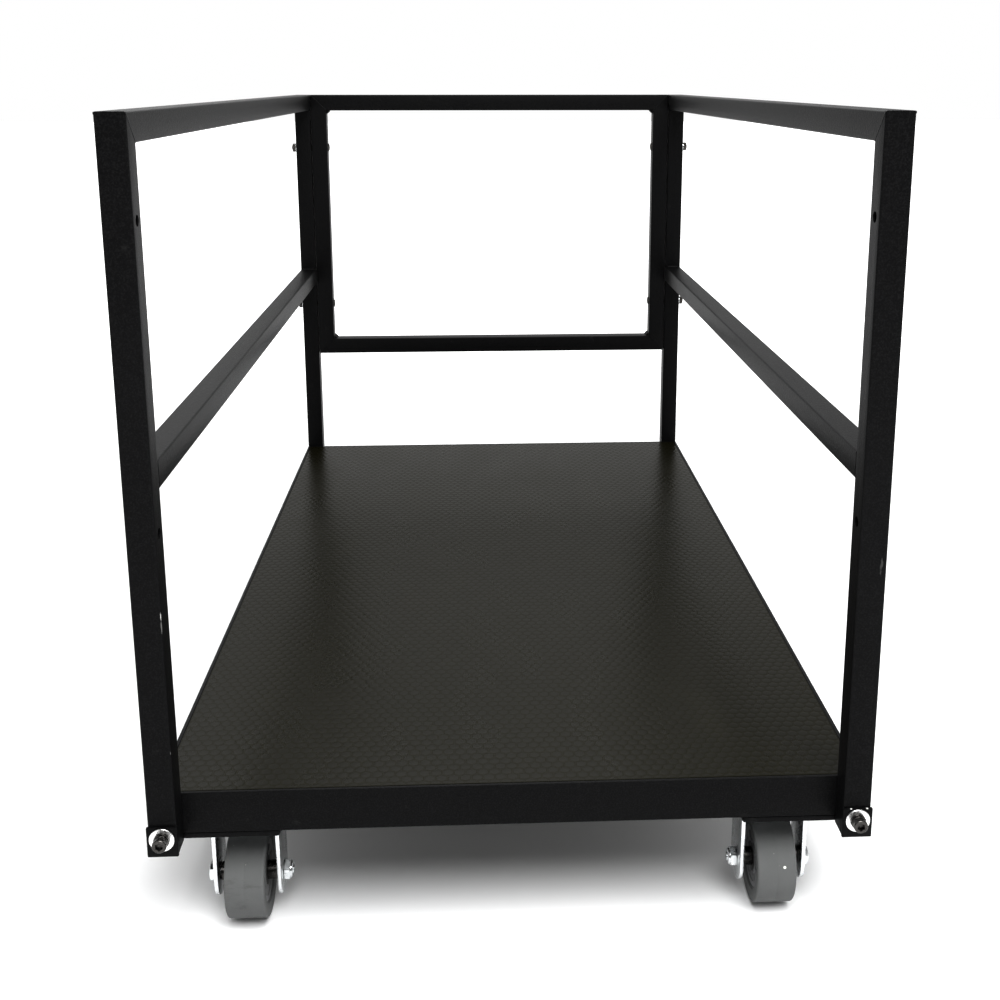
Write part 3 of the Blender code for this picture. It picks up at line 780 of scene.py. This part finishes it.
def cross_members():
    for name in ("front", "front_middle", "rear_middle", "rear"):
        node = f"cross_member_{name}"
        low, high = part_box(node)
        bm = bmesh.new()
        tube(bm, "x", (low.x, high.x), ((low.y + high.y) / 2, (low.z + high.z) / 2))
        add_piece(f"deck_bearer_{name}", bm, COAT, node)


def corner_plates():
    for end_name in ENDS:
        for side_name in SIDES:
            node = f"corner_plate_{end_name}_{side_name}"
            low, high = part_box(node)
            bm = bmesh.new()
            prism(bm, rounded_box(low, high, 0.004),
                  lambda u, v, end: (u, v, (low.z, high.z)[end]))
            bevel_edges(bm, 0.0006, 2, 60)
            add_piece(f"caster_pad_{end_name}_{side_name}", bm, COAT, node)


# ---- side frames and end frame ----

LEFT_EDGE = Vector((-HALF_WIDTH + TUBE, -HALF_LENGTH, DECK_TOP))
RIGHT_EDGE = Vector((HALF_WIDTH - 0.006, -HALF_LENGTH, DECK_TOP))
RIGHT_FOOT = Vector((POST_X, -HALF_LENGTH - 0.003, FOOT_BOTTOM + FOOT_PLATE_HEIGHT))
SCUFFED = powder_coat("powder_coat_scuffed", (
    (LEFT_EDGE + Z * 0.216, (0.0024, 0.0024, 0.018), 0.20, 0.12),
    (LEFT_EDGE + Z * 0.229, (0.0022, 0.0022, 0.0115), 0.20, 0.45),
    (LEFT_EDGE + Z * 0.068, (0.0020, 0.0020, 0.0060), 0.20, 0.10),
    (RIGHT_EDGE + Z * 0.272, (0.0042, 0.006, 0.022), 0.30, 0.045),
    (RIGHT_FOOT - X * 0.0080, (0.0025, 0.003, 0.0018), 0.2, 0.55),
    (RIGHT_FOOT + X * 0.0105, (0.0021, 0.003, 0.0017), 0.2, 0.55),
))


def posts():
    for side_name, side in SIDES.items():
        for end_name, end in ENDS.items():
            node = f"side_{side_name}_{end_name}_post"
            low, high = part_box(node)
            bm = bmesh.new()
            tube(bm, "z", (FOOT_BOTTOM, RAIL_TOP), (side * POST_X, end * POST_Y),
                 high_mitre=(1, end))
            plate = bmesh.new()
            outer = high.y if end > 0 else low.y
            inner = end * (HALF_LENGTH - 0.0002)
            outline = rounded_box((low.x, FOOT_BOTTOM),
                                  (high.x, FOOT_BOTTOM + FOOT_PLATE_HEIGHT), 0.0012, 3)
            prism(plate, outline, lambda u, v, end: (u, (inner, outer)[end], v))
            bevel_edges(plate, 0.0005, 2, 60)
            merge(bm, plate)
            finish = SCUFFED if end_name == "front" else COAT
            obj = add_piece(f"post_{end_name}_{side_name}", bm, finish, node)
            drill(obj, [(Vector((side * POST_X, end * POST_Y, DECK_TOP + rise)), X, 0.0060, 0.05)
                        for rise in FIXING_RISES])


def rails():
    for side_name, side in SIDES.items():
        for level in ("top", "mid"):
            node = f"side_{side_name}_{level}_rail"
            low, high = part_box(node)
            mitres = ((2, 1), (2, 1)) if level == "top" else (None, None)
            bm = bmesh.new()
            tube(bm, "y", (low.y, high.y), (side * POST_X, (low.z + high.z) / 2), *mitres)
            add_piece(f"rail_{level}_{side_name}", bm, COAT, node)


def end_frame():
    for level, up in (("top", 1), ("bottom", -1)):
        node = f"end_frame_{level}_rail"
        low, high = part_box(node)
        bm = bmesh.new()
        tube(bm, "x", (low.x, high.x), (POST_Y, (low.z + high.z) / 2), (2, up), (2, up))
        add_piece(f"end_rail_{level}", bm, COAT, node)
    for side_name, side in SIDES.items():
        node = f"end_frame_{side_name}_upright"
        low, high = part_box(node)
        bm = bmesh.new()
        tube(bm, "z", (low.z, high.z), ((low.x + high.x) / 2, POST_Y), (0, side), (0, side))
        add_piece(f"end_upright_{side_name}", bm, COAT, node)


def side_welds():
    """Beads above and below each middle rail's ends and in the top corners."""
    for side_name, side in SIDES.items():
        bm = bmesh.new()
        low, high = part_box(f"side_{side_name}_mid_rail")
        x_span = (side * POST_X - 0.0125, side * POST_X + 0.0125)
        for end in ENDS.values():
            face = end * (HALF_LENGTH - TUBE)
            for level, away, leg in ((high.z, Z, 0.0036), (low.z, -Z, 0.0036),
                                     (RAIL_TOP - TUBE, -Z, 0.0022)):
                bead(bm, (x_span[0], face, level), (x_span[1], face, level), away, -Y * end, leg,
                     int(level * 1000) + end)
        add_piece(f"side_welds_{side_name}", bm, COAT, body=FRAME_BODY, sharp=50)


def seam(bm, corner, inward, normal, seed):
    """Ground-down weld standing a little proud of a face along a mitre."""
    rng = random.Random(seed)
    start, end = corner + inward * 0.0012, corner + inward * (TUBE - 0.0006)
    along = (end - start).normalized()
    across = along.cross(normal)
    count = 24
    rings = []
    for index in range(count + 1):
        point = start.lerp(end, index / count)
        width = 0.0013 * rng.uniform(0.85, 1.15)
        height = 0.00030 * rng.uniform(0.7, 1.1)
        rings.append([bm.verts.new(point + across * width * u + normal * v) for u, v in (
            (-1, -0.0002), (-0.95, 0.0), (-0.6, height * 0.7), (0, height),
            (0.6, height * 0.7), (0.95, 0.0), (1, -0.0002))])
    loft(bm, rings)


def mitre_seams():
    """Seams on both faces of every mitred corner."""
    bm = bmesh.new()
    for side in SIDES.values():
        for end in ENDS.values():
            for face in (-1, 1):
                x = side * POST_X + face * HALF_TUBE
                corner = Vector((x, end * HALF_LENGTH, RAIL_TOP))
                inward = Vector((0, -end, -1))
                seam(bm, corner, inward, X * face, 3 + side + 5 * end + face)
    low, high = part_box("end_frame_bottom_rail")
    for side in SIDES.values():
        for level, down in ((RAIL_TOP, -1), (low.z, 1)):
            for face in (-1, 1):
                y = POST_Y + face * HALF_TUBE
                corner = Vector((side * high.x, y, level))
                inward = Vector((-side, 0, down))
                seam(bm, corner, inward, Y * face, 31 + side + 5 * down + face)
    add_piece("mitre_seams", bm, COAT, body=FRAME_BODY, sharp=60)


def end_welds():
    bm = bmesh.new()
    low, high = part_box("end_frame_bottom_rail")
    inner_x = high.x - TUBE
    y_span = (POST_Y - 0.0125, POST_Y + 0.0125)
    for side in SIDES.values():
        for level, away in ((RAIL_TOP - TUBE, -Z), (high.z, Z)):
            bead(bm, (side * inner_x, y_span[0], level), (side * inner_x, y_span[1], level),
                 -X * side, away, 0.0066, int(level * 1000) + side)
    add_piece("end_frame_welds", bm, COAT, body=FRAME_BODY, sharp=50)


def deck_welds():
    """Beads between bearers and angles, and along the caster pads' inner edges."""
    bm = bmesh.new()
    flange_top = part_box("deck_angle_front")[0].z + ANGLE_THICKNESS
    flange_bottom = flange_top - ANGLE_THICKNESS
    for name in ("front_middle", "rear_middle"):
        low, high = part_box(f"cross_member_{name}")
        for side in SIDES.values():
            reach = (side * (HALF_WIDTH - ANGLE_LEG + 0.002), side * (HALF_WIDTH - 0.013))
            for y, away in ((low.y, -Y), (high.y, Y)):
                bead(bm, (reach[0], y, flange_top), (reach[1], y, flange_top), away, Z, 0.0035,
                     int(y * 1000) + side)
    for end_name, end in ENDS.items():
        for side_name, side in SIDES.items():
            low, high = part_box(f"corner_plate_{end_name}_{side_name}")
            inner_x = low.x if side > 0 else high.x
            inner_y = low.y if end > 0 else high.y
            outer_x = side * (HALF_WIDTH - 0.004)
            outer_y = end * (abs(high.y if end > 0 else low.y) - 0.004)
            flange_x = side * (HALF_WIDTH - ANGLE_LEG)
            flange_y = outer_y + end * 0.004 - end * ANGLE_LEG
            bead(bm, (inner_x, flange_y, flange_bottom), (inner_x, outer_y, flange_bottom),
                 -X * side, -Z, 0.0045, 7 + side + end)
            bead(bm, (flange_x, inner_y, flange_bottom), (outer_x, inner_y, flange_bottom),
                 -Y * end, -Z, 0.0045, 17 + side + end)
    add_piece("deck_frame_welds", bm, COAT, body=FRAME_BODY, sharp=50)


# ---- casters ----

PLATE_BOLTS = [(u * 0.0340, v * 0.0355) for u in (-1, 1) for v in (-1, 1)]


def top_plate(bm, low, high, bottom):
    """Caster plate with rounded corners and broken edges."""
    plate = bmesh.new()
    prism(plate, rounded_box(low, high, 0.009, 6), lambda u, v, end: (u, v, (bottom, high.z)[end]))
    bevel_edges(plate, 0.0006, 2, 60)
    merge(bm, plate)


def leg_points(top_width, trail, top_z, axle_z, steps=20):
    """Side outline of a fork leg with a round end about the axle."""
    radius = FORK_LEG_WIDTH / 2
    arc = [(trail + radius * cos(angle), axle_z + radius * sin(angle))
           for angle in (pi + pi * step / steps for step in range(steps + 1))]
    return [(-top_width / 2, top_z), *arc, (top_width / 2, top_z)]


def fork_legs(bm, centre, top_width, trail, top_z, axle_z, weld_seed):
    for side in (-1, 1):
        inner = centre.x + side * FORK_GAP / 2
        outer = inner + side * FORK_THICKNESS
        leg = bmesh.new()
        prism(leg, leg_points(top_width, trail, top_z, axle_z),
              lambda u, v, end: ((inner, outer)[end], centre.y + u, v))
        bevel_edges(leg, 0.0006, 2, 60)
        merge(bm, leg)
        half = top_width / 2 - 0.002
        for face, away in ((inner, -side), (outer, side)):
            bead(bm, (face, centre.y - half, top_z), (face, centre.y + half, top_z), X * away, -Z,
                 0.0032, weld_seed + side + away)


def plate_bolts(name, centre, pad_top, plate_bottom, end, body):
    """Four hex bolts from below, with nuts where the deck frame leaves room above."""
    bm = bmesh.new()
    for u, v in PLATE_BOLTS:
        at = Vector((centre.x + u, centre.y + v, plate_bottom))
        polar(bm, at - Z * 0.0014, Z, [(0.0, 0.0078), (0.0003, 0.0082), (0.0011, 0.0082),
                                       (0.0014, 0.0078)], 40)
        turn = radians(17 * u * 1000 % 60)
        hex_block(bm, at - Z * 0.0013, -Z, 0.0053, PLATE_BOLT_HEX, turn=turn)
        if v * end < 0:
            top = at + Z * (pad_top - plate_bottom)
            hex_block(bm, top, Z, 0.0065, PLATE_BOLT_HEX, turn=radians(23))
            thread(bm, top, Z, -0.002, 0.0105, 0.0040, 0.00125)
    add_piece(name, bm, ZINC, body=body, sharp=28)


def rigid_caster(side_name, side):
    node = f"rigid_fork_{side_name}"
    low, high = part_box(node)
    axle = sum(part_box(f"wheel_tyre_front_{side_name}"), Vector()) / 2
    centre = Vector((axle.x, axle.y, high.z))
    bottom = high.z - FORK_PLATE_THICKNESS
    bm = bmesh.new()
    top_plate(bm, low, high, bottom)
    fork_legs(bm, centre, FORK_LEG_WIDTH, 0.0, bottom, axle.z, 40)
    add_piece(f"fixed_fork_{side_name}", bm, ZINC, node)
    pad_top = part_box(f"corner_plate_front_{side_name}")[1].z
    plate_bolts(f"plate_bolts_front_{side_name}", centre, pad_top, bottom, -1, FRAME_BODY)
    wheel("front", side_name, axle)


def swivel_caster(side_name, side):
    plate_node = f"swivel_plate_{side_name}"
    low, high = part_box(plate_node)
    pivot = Vector(((low.x + high.x) / 2, (low.y + high.y) / 2, high.z))
    bottom = high.z - FORK_PLATE_THICKNESS
    race_bottom = bottom - RACE_HEIGHT
    bm = bmesh.new()
    top_plate(bm, low, high, bottom)
    r = RACE_RADIUS
    polar(bm, pivot - Z * FORK_PLATE_THICKNESS, -Z,
          [(-0.001, r - 0.009), (0.0015, r - 0.0085), (0.0030, r - 0.0060), (0.0038, r - 0.0022),
           (0.0048, r - 0.0005), (0.0062, r), (0.0080, r), (0.0092, r - 0.0008),
           (0.0096, r - 0.0030), (0.0104, r - 0.0030), (0.0108, r - 0.0012),
           (0.0126, r - 0.0012), (0.0136, r - 0.0030), (RACE_HEIGHT, r - 0.0060)], 72)
    head_top = race_bottom - GAP - CROWN_THICKNESS - GAP
    polar(bm, Vector((pivot.x, pivot.y, head_top)), -Z,
          [(-0.008, 0.0058), (-0.0002, 0.0058), (0.0, 0.0104), (0.0010, 0.0109),
           (0.0028, 0.0104), (0.0042, 0.0085), (0.0049, 0.0050), (0.0050, 0.0010)], 48)
    add_piece(f"swivel_top_{side_name}", bm, ZINC, plate_node)
    seal = bmesh.new()
    polar(seal, pivot - Z * (FORK_PLATE_THICKNESS + 0.0088), -Z,
          [(0.0, r - 0.0040), (0.0004, r - 0.0016), (0.0018, r - 0.0016),
           (0.0022, r - 0.0040)], 72)
    add_piece(f"race_seal_{side_name}", seal, SEAL, body=FRAME_BODY)
    pad_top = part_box(f"corner_plate_rear_{side_name}")[1].z
    plate_bolts(f"plate_bolts_rear_{side_name}", pivot, pad_top, bottom, 1, FRAME_BODY)

    fork_node = f"swivel_fork_{side_name}"
    fork_low, fork_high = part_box(fork_node)
    axle = sum(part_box(f"wheel_tyre_rear_{side_name}"), Vector()) / 2
    crown = bmesh.new()
    x_reach = FORK_GAP / 2 + FORK_THICKNESS
    outline = rounded_box((pivot.x - x_reach, fork_low.y),
                          (pivot.x + x_reach, fork_low.y + CROWN_LENGTH), 0.010, 6)
    prism(crown, outline,
          lambda u, v, end: (u, v, (fork_high.z - CROWN_THICKNESS, fork_high.z)[end]))
    bevel_edges(crown, 0.0008, 3, 60)
    fork_legs(crown, pivot, SWIVEL_LEG_WIDTH, axle.y - pivot.y, fork_high.z - CROWN_THICKNESS / 2,
              axle.z, 90)
    add_piece(f"swivelling_fork_{side_name}", crown, ZINC, fork_node)
    wheel("rear", side_name, axle)


def wheel_ring(axle, half, steps):
    """Ring about an axle, from the (radius, offset) profile of its right half."""
    bm = bmesh.new()
    rings = [(h, r) for r, h in half] + [(-h, r) for r, h in reversed(half)]
    polar(bm, axle, X, rings, steps, closed=True)
    return bm


def wheel(end_name, side_name, axle):
    """Moulded hub with ribs and bearing seals, and a crowned tyre with stepped sides."""
    hub_node = f"wheel_hub_{end_name}_{side_name}"
    tyre_node = f"wheel_tyre_{end_name}_{side_name}"
    low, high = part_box(tyre_node)
    half = (high.x - low.x) / 2
    radius = (high.z - low.z) / 2
    side = [(0.0370, half - 0.0024), (0.0382, half - 0.0022), (0.0387, half - 0.0010),
            (0.0402, half - 0.0005), (0.0440, half - 0.0003), (0.0446, half),
            (radius - 0.0034, half)]
    shoulder = [(radius - 0.0028 + 0.0026 * sin(a), half - 0.0026 + 0.0026 * cos(a))
                for a in (radians(step * 15) for step in range(0, 7))]
    tread = [(radius - 0.0002, half - 0.0034), (radius - 0.0001, half * 0.45),
             (radius, 0.0010), (radius - 0.0002, 0.0003)]
    bm = wheel_ring(axle, side + shoulder + tread, 128)
    rubber = FLECKED if (end_name, side_name) == ("front", "right") else RUBBER
    add_piece(f"tyre_{end_name}_{side_name}", bm, rubber, tyre_node)

    low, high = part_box(hub_node)
    boss = (high.x - low.x) / 2
    face = HUB_HALF_WIDTH
    bm = wheel_ring(axle, fillet(
        [(0.0066, face - 0.0010), (0.0172, face - 0.0010), (0.0178, face), (0.0206, face),
         (0.0212, face - 0.0012), (0.0294, face - 0.0012), (0.0302, face), (0.0366, face)],
        [0.0, 0.0003, 0.0003, 0.0003, 0.0004, 0.0004, 0.0005, 0.0004], 3), 96)
    for index in range(8):
        angle = 2 * pi * index / 8 + 0.2
        along = Y * cos(angle) + Z * sin(angle)
        across = X.cross(along)
        for way in (-1, 1):
            rib = bmesh.new()
            outline = [(0.0200, face - 0.0020), (0.0200, face - 0.0003),
                       (0.0302, face - 0.0003), (0.0302, face - 0.0020)]
            prism(rib, outline, lambda u, v, end: axle + along * u + X * way * v
                  + across * (-0.0014, 0.0014)[end])
            bevel_edges(rib, 0.0004, 2, 25)
            merge(bm, rib)
    add_piece(f"hub_{end_name}_{side_name}", bm, HUB, hub_node)
    seals, sleeve = bmesh.new(), bmesh.new()
    for way in (-1, 1):
        polar(seals, axle + X * way * (face - 0.0012), X * way,
              [(0.0, 0.0110), (0.0, 0.0168), (0.0010, 0.0168), (0.0014, 0.0160),
               (0.0014, 0.0124), (0.0011, 0.0120), (0.0011, 0.0110)], 56, closed=True)
        polar(sleeve, axle + X * way * (face - 0.0012), X * way,
              [(0.0, 0.0066), (0.0, 0.0112), (boss - face + 0.0009, 0.0112),
               (boss - face + 0.0012, 0.0108), (boss - face + 0.0012, 0.0066)], 48, closed=True)
    add_piece(f"bearing_seals_{end_name}_{side_name}", seals, SEAL, body=BODY_OF[hub_node])
    add_piece(f"axle_sleeve_{end_name}_{side_name}", sleeve, OXIDE, body=BODY_OF[hub_node])


# ---- the cart ----

deck_panel()
deck_angles()
cross_members()
corner_plates()
posts()
rails()
end_frame()
side_welds()
mitre_seams()
end_welds()
deck_welds()
for side_key, side_sign in SIDES.items():
    rigid_caster(side_key, side_sign)
    swivel_caster(side_key, side_sign)
    for end_key, end_sign in ENDS.items():
        foot = f"{end_key}_{side_key}"
        at = Vector((side_sign * POST_X, 0, DECK_TOP - FOOT_BOLT_DROP))
        socket_screw(f"foot_screw_{foot}", f"foot_bolt_{foot}", Y * end_sign, at)
        flat_washer(f"screw_washer_{foot}", f"foot_washer_{foot}", Y * end_sign)
        axle_bolt(f"axle_{foot}", f"axle_bolt_{foot}", X * -side_sign)
    for level_key in ("lower", "upper"):
        fixing = f"{level_key}_{side_key}"
        frame_bolt(f"frame_bolt_{fixing}", f"end_frame_bolt_{fixing}", X * side_sign)
        frame_nut(f"frame_nut_{fixing}", f"end_frame_nut_{fixing}", X * side_sign)


# ---- stage, light and camera ----

def stage():
    """Pale floor and soft light."""
    bm = bmesh.new()
    bmesh.ops.create_grid(bm, x_segments=2, y_segments=2, size=30.0)
    floor = object_from("floor", bm)
    surface = Surface("pale_floor")
    cloud = surface.noise(1.5, 3.0)
    colour = surface.mix(cloud, (0.84, 0.845, 0.85), (0.88, 0.88, 0.88))
    distance = surface.node("ShaderNodeVectorMath", operation="LENGTH")
    surface.feed(distance.inputs[0], surface.place)
    glow = surface.span(distance.outputs["Value"], 1.3, 3.6, 0.04, 0.85)
    surface.feed(surface.shader.inputs["Emission Color"], (1.0, 1.0, 1.0))
    surface.feed(surface.shader.inputs["Emission Strength"], glow)
    floor.data.materials.append(surface.finish(colour, 0.6))
    floor.location.z = -0.0005


LIGHTS = (("key", (0.5, -2.5, 3.3), (0, -0.5, 0.1), (2.2, 2.2), 218),
          ("back", (-0.4, 2.6, 3.0), (0, 0.2, 0.4), (3.0, 2.0), 40),
          ("right_side", (3.2, 0.2, 1.5), (0, 0, 0.5), (2.2, 2.0), 16))


def area_light(name, location, target, size, power):
    light = bpy.data.lights.new(name, "AREA")
    light.shape = "RECTANGLE"
    light.size, light.size_y = size
    light.energy = power
    obj = linked(name, light)
    obj.location = location
    obj.rotation_euler = (Vector(target) - Vector(location)).to_track_quat("-Z", "Y").to_euler()


def world():
    """White surroundings, dimmer on the side that faces the open end."""
    made = bpy.data.worlds.new("studio")
    made.use_nodes = True
    nodes, links = made.node_tree.nodes, made.node_tree.links
    background = nodes["Background"]
    coord = nodes.new("ShaderNodeTexCoord")
    split = nodes.new("ShaderNodeSeparateXYZ")
    links.new(coord.outputs["Generated"], split.inputs[0])
    ramp = nodes.new("ShaderNodeMapRange")
    for name, value in (("From Min", -0.9), ("From Max", 0.05), ("To Min", 0.05), ("To Max", 1.0)):
        ramp.inputs[name].default_value = value
    links.new(split.outputs["Y"], ramp.inputs["Value"])
    path = nodes.new("ShaderNodeLightPath")
    pick = nodes.new("ShaderNodeMix")
    links.new(path.outputs["Is Camera Ray"], pick.inputs[0])
    links.new(ramp.outputs["Result"], pick.inputs[2])
    pick.inputs[3].default_value = 1.0
    background.inputs["Color"].default_value = (1.0, 1.0, 1.0, 1)
    links.new(pick.outputs[0], background.inputs["Strength"])
    bpy.context.scene.world = made


def camera():
    made = bpy.data.cameras.new("camera")
    made.sensor_width = 36.0
    made.lens = 45.84
    made.shift_x = -0.0362
    made.shift_y = -0.1245
    made.clip_end = 60.0
    obj = linked("camera", made)
    obj.location = (-0.0383, -2.0262, 0.9869)
    pitch, yaw = radians(13.047), radians(2.811)
    forward = Vector((sin(yaw) * cos(pitch), cos(yaw) * cos(pitch), -sin(pitch)))
    obj.rotation_euler = forward.to_track_quat("-Z", "Y").to_euler()
    bpy.context.scene.camera = obj


stage()
world()
for light in LIGHTS:
    area_light(*light)
camera()
bpy.context.scene.view_settings.view_transform = "Standard"
bpy.context.scene.view_settings.gamma = 0.80
